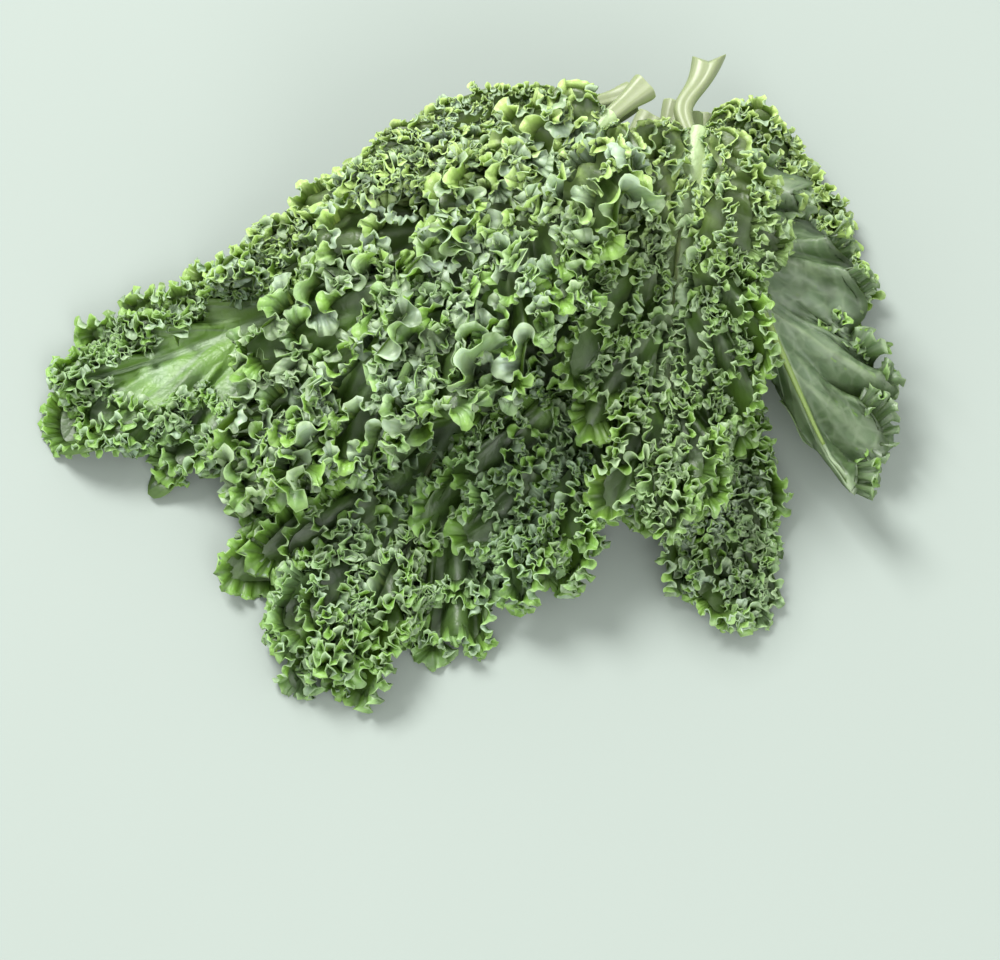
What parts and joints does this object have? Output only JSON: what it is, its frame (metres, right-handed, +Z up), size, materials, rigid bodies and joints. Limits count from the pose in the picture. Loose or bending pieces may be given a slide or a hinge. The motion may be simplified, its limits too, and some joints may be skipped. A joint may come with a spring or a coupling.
{
  "type": "kale bunch",
  "caption": "Loose bunch of fresh curly kale laid flat: pale cut stalks gathered at the back, frilled green leaves fanned out to the sides and the front, overlapping in a low heap.",
  "frame": {"origin": "under the middle of the bunch's box, on the surface that it lies on", "axes": "+Z up from the surface; +X along the bunch's longest side, to the right as seen from the front; +Y back towards the cut stalks"},
  "size_m": [0.4392, 0.3068, 0.145],
  "materials": {
    "leaf_green": null,
    "stalk_pale_green": null
  },
  "bodies": {
    "root": {"far_left_blade": "leaf_green", "bottom_left_blade": "leaf_green", "hanging_blade": "leaf_green", "upper_right_blade": "leaf_green", "upper_left_blade": "leaf_green", "bottom_centre_blade": "leaf_green", "mid_left_blade": "leaf_green", "right_blade": "leaf_green", "mid_right_blade": "leaf_green", "top_back_blade": "leaf_green", "centre_blade": "leaf_green", "far_left_stalk": "stalk_pale_green", "bottom_left_stalk": "stalk_pale_green", "hanging_stalk": "stalk_pale_green", "upper_right_stalk": "stalk_pale_green", "upper_left_stalk": "stalk_pale_green", "bottom_centre_stalk": "stalk_pale_green", "mid_left_stalk": "stalk_pale_green", "right_stalk": "stalk_pale_green", "mid_right_stalk": "stalk_pale_green", "top_back_stalk": "stalk_pale_green", "centre_stalk": "stalk_pale_green"}
  },
  "joints": []
}
